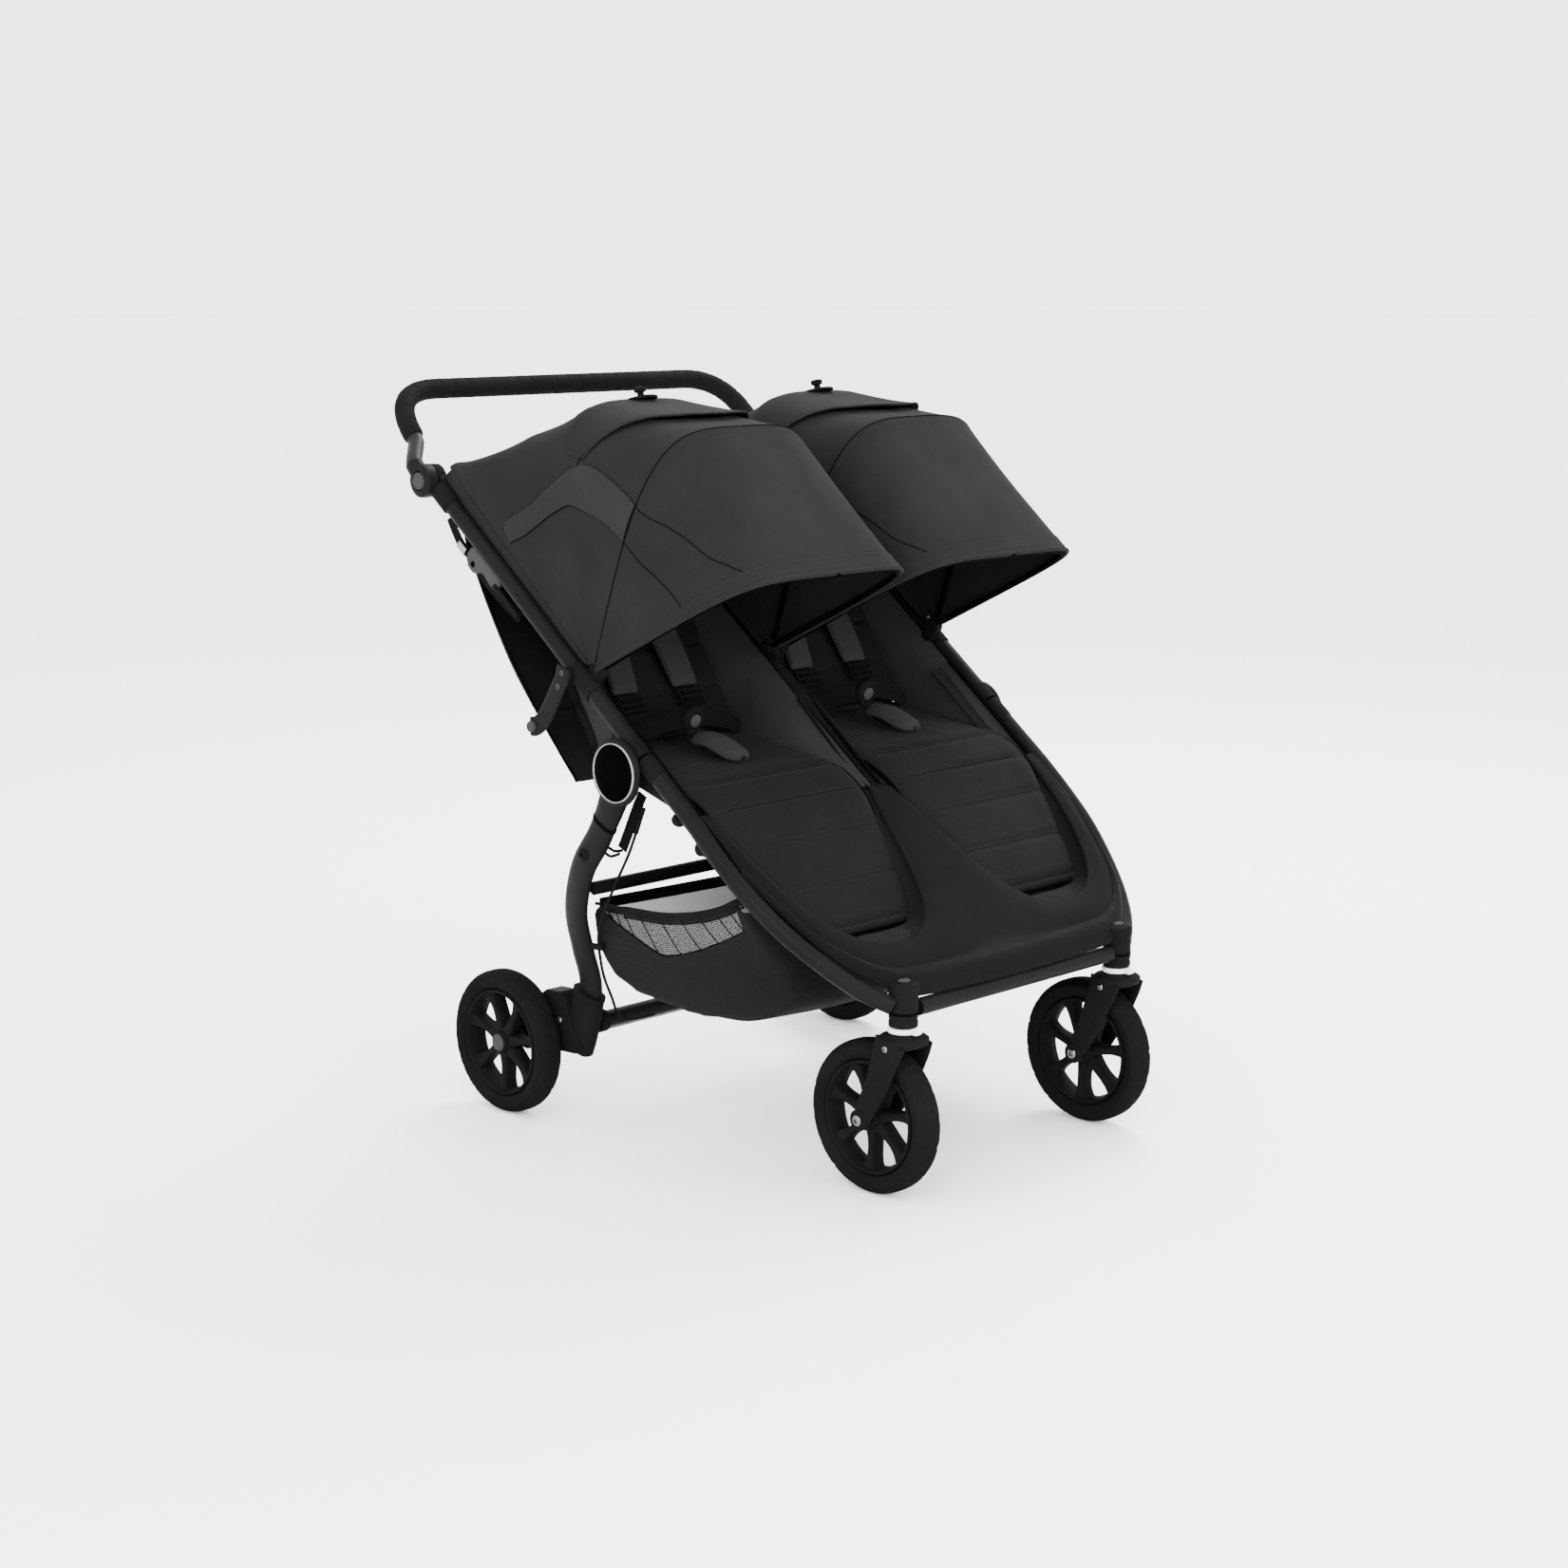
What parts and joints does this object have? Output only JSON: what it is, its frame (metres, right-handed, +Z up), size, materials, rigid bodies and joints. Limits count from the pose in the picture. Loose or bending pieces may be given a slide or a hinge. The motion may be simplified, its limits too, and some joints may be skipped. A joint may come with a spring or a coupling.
{
  "type": "side-by-side double stroller",
  "caption": "Side-by-side double stroller with a folding frame, swivelling front wheels, a tilting handlebar, two fold-back canopies, reclining seats and a storage basket.",
  "frame": {"origin": "ground level under the middle of the footprint", "axes": "+X to the right of a rider who faces forward, -Y the way it travels, +Z up"},
  "size_m": [0.7732, 1.035, 1.078],
  "materials": {
    "frame": "anthracite powder coat, semi-gloss",
    "moulded_plastic": "fine-grained black moulding",
    "gloss_plastic": "polished black",
    "grey_plastic": "light grey moulding",
    "white_plastic": "white moulding",
    "tyre": "foam-filled tread rubber",
    "rubber": "soft black grip and cable sheath",
    "coated_panel": "smooth coated black panel",
    "cloth": "charcoal woven polyester",
    "steel": "plated wire and axles"
  },
  "bodies": {
    "rear_legs": {"rear_leg_left": "frame", "rear_leg_right": "frame", "hub_cover_left": "gloss_plastic", "hub_cover_right": "gloss_plastic", "wheel_bracket_left": "moulded_plastic", "wheel_bracket_right": "moulded_plastic", "rear_crossbar": "frame", "rear_axle_tube": "frame", "brake_cable": "rubber"},
    "front_frame": {"front_rail_left": "frame", "front_rail_right": "frame", "caster_housing_left": "moulded_plastic", "caster_housing_right": "moulded_plastic", "seat_pad_left": "cloth", "seat_pad_right": "cloth", "buckle_left": "moulded_plastic", "buckle_right": "moulded_plastic", "front_cross_tube": "frame", "footwell_panel": "coated_panel", "seat_cross_tube": "frame", "basket": "cloth"},
    "upper_frame": {"upper_rail_left": "frame", "upper_rail_right": "frame", "pivot_housing_left": "moulded_plastic", "pivot_housing_right": "moulded_plastic", "seat_back_cover_left": "cloth", "seat_back_cover_right": "cloth", "top_cross_tube": "frame", "centre_rail": "frame"},
    "handlebar": {"handlebar": "frame", "handlebar_grip": "rubber"},
    "brake_lever": {"brake_lever": "moulded_plastic"},
    "tilt_button_left": {"tilt_button_left": "grey_plastic"},
    "caster_left": {"fork_left": "moulded_plastic", "front_axle_left": "steel"},
    "swivel_lock_left": {"swivel_lock_left": "white_plastic"},
    "wheel_front_left": {"tyre_front_left": "tyre", "rim_front_left": "moulded_plastic"},
    "wheel_rear_left": {"tyre_rear_left": "tyre", "rim_rear_left": "moulded_plastic"},
    "canopy_mid_left": {"canopy_mid_hoop_left": "steel", "canopy_rear_cloth_left": "cloth"},
    "canopy_brim_left": {"canopy_brim_hoop_left": "steel", "canopy_front_cloth_left": "cloth"},
    "seat_back_left": {"seat_back_left": "cloth"},
    "buckle_button_left": {"buckle_button_left": "grey_plastic"},
    "tilt_button_right": {"tilt_button_right": "grey_plastic"},
    "caster_right": {"fork_right": "moulded_plastic", "front_axle_right": "steel"},
    "swivel_lock_right": {"swivel_lock_right": "white_plastic"},
    "wheel_front_right": {"tyre_front_right": "tyre", "rim_front_right": "moulded_plastic"},
    "wheel_rear_right": {"tyre_rear_right": "tyre", "rim_rear_right": "moulded_plastic"},
    "canopy_mid_right": {"canopy_mid_hoop_right": "steel", "canopy_rear_cloth_right": "cloth"},
    "canopy_brim_right": {"canopy_brim_hoop_right": "steel", "canopy_front_cloth_right": "cloth"},
    "seat_back_right": {"seat_back_right": "cloth"},
    "buckle_button_right": {"buckle_button_right": "grey_plastic"}
  },
  "joints": [
    {"name": "fold_front", "type": "hinge", "parent": "rear_legs", "child": "front_frame", "pos_m": [0, -0.0525, 0.556], "axis": [1, 0, 0], "range_deg": [0, 64], "deforming": ["basket"]},
    {"name": "fold_upper", "type": "hinge", "parent": "rear_legs", "child": "upper_frame", "pos_m": [0, -0.0525, 0.556], "axis": [-1, 0, 0], "range_deg": [0, 80.4]},
    {"name": "handlebar_tilt", "type": "hinge", "parent": "upper_frame", "child": "handlebar", "pos_m": [0, 0.3795, 0.936], "axis": [1, 0, 0], "range_deg": [-80, 15]},
    {"name": "brake_lever_turn", "type": "hinge", "parent": "upper_frame", "child": "brake_lever", "pos_m": [-0.384, 0.0545, 0.681], "axis": [1, 0, 0], "range_deg": [0, 50]},
    {"name": "tilt_button_press_left", "type": "slide", "parent": "handlebar", "child": "tilt_button_left", "axis": [1, 0, 0], "range_m": [0, 0.003], "stiffness_N_per_m": 300, "springref_m": -0.001},
    {"name": "caster_swivel_left", "type": "hinge", "parent": "front_frame", "child": "caster_left", "pos_m": [-0.2275, -0.4595, 0.24], "axis": [0, 0, 1], "continuous": true},
    {"name": "swivel_lock_turn_left", "type": "hinge", "parent": "caster_left", "child": "swivel_lock_left", "pos_m": [-0.2275, -0.4595, 0.24], "axis": [0, 0, 1], "range_deg": [0, 40]},
    {"name": "wheel_front_spin_left", "type": "hinge", "parent": "caster_left", "child": "wheel_front_left", "pos_m": [-0.2275, -0.4095, 0.108], "axis": [1, 0, 0], "continuous": true},
    {"name": "wheel_rear_spin_left", "type": "hinge", "parent": "rear_legs", "child": "wheel_rear_left", "pos_m": [-0.358, 0.2275, 0.108], "axis": [1, 0, 0], "continuous": true},
    {"name": "canopy_fold_left", "type": "hinge", "parent": "upper_frame", "child": "canopy_mid_left", "pos_m": [-0.181, 0.0185, 0.688], "axis": [-1, 0, 0], "range_deg": [0, 40], "deforming": ["canopy_rear_cloth_left"]},
    {"name": "canopy_brim_fold_left", "type": "hinge", "parent": "canopy_mid_left", "child": "canopy_brim_left", "pos_m": [-0.181, 0.0185, 0.688], "axis": [-1, 0, 0], "range_deg": [0, 24], "deforming": ["canopy_front_cloth_left"]},
    {"name": "seat_recline_left", "type": "hinge", "parent": "upper_frame", "child": "seat_back_left", "pos_m": [-0.181, 0.0525, 0.56], "axis": [1, 0, 0], "range_deg": [-20, 0], "deforming": ["seat_back_cover_left"]},
    {"name": "buckle_press_left", "type": "slide", "parent": "front_frame", "child": "buckle_button_left", "axis": [0, 0.9682, 0.2501], "range_m": [0, 0.002], "stiffness_N_per_m": 300, "springref_m": -0.001},
    {"name": "tilt_button_press_right", "type": "slide", "parent": "handlebar", "child": "tilt_button_right", "axis": [-1, 0, 0], "range_m": [0, 0.003], "stiffness_N_per_m": 300, "springref_m": -0.001},
    {"name": "caster_swivel_right", "type": "hinge", "parent": "front_frame", "child": "caster_right", "pos_m": [0.2275, -0.4595, 0.24], "axis": [0, 0, 1], "continuous": true},
    {"name": "swivel_lock_turn_right", "type": "hinge", "parent": "caster_right", "child": "swivel_lock_right", "pos_m": [0.2275, -0.4595, 0.24], "axis": [0, 0, 1], "range_deg": [0, 40]},
    {"name": "wheel_front_spin_right", "type": "hinge", "parent": "caster_right", "child": "wheel_front_right", "pos_m": [0.2275, -0.4095, 0.108], "axis": [1, 0, 0], "continuous": true},
    {"name": "wheel_rear_spin_right", "type": "hinge", "parent": "rear_legs", "child": "wheel_rear_right", "pos_m": [0.358, 0.2275, 0.108], "axis": [1, 0, 0], "continuous": true},
    {"name": "canopy_fold_right", "type": "hinge", "parent": "upper_frame", "child": "canopy_mid_right", "pos_m": [0.181, 0.0185, 0.688], "axis": [-1, 0, 0], "range_deg": [0, 40], "deforming": ["canopy_rear_cloth_right"]},
    {"name": "canopy_brim_fold_right", "type": "hinge", "parent": "canopy_mid_right", "child": "canopy_brim_right", "pos_m": [0.181, 0.0185, 0.688], "axis": [-1, 0, 0], "range_deg": [0, 24], "deforming": ["canopy_front_cloth_right"]},
    {"name": "seat_recline_right", "type": "hinge", "parent": "upper_frame", "child": "seat_back_right", "pos_m": [0.181, 0.0525, 0.56], "axis": [1, 0, 0], "range_deg": [-20, 0], "deforming": ["seat_back_cover_right"]},
    {"name": "buckle_press_right", "type": "slide", "parent": "front_frame", "child": "buckle_button_right", "axis": [0, 0.9682, 0.2501], "range_m": [0, 0.002], "stiffness_N_per_m": 300, "springref_m": -0.001}
  ],
  "couplings": [
    {"joint": "fold_upper", "follows": "fold_front", "ratio": 1.2547},
    {"joint": "canopy_brim_fold_left", "follows": "canopy_fold_left", "ratio": 0.6},
    {"joint": "canopy_brim_fold_right", "follows": "canopy_fold_right", "ratio": 0.6}
  ]
}
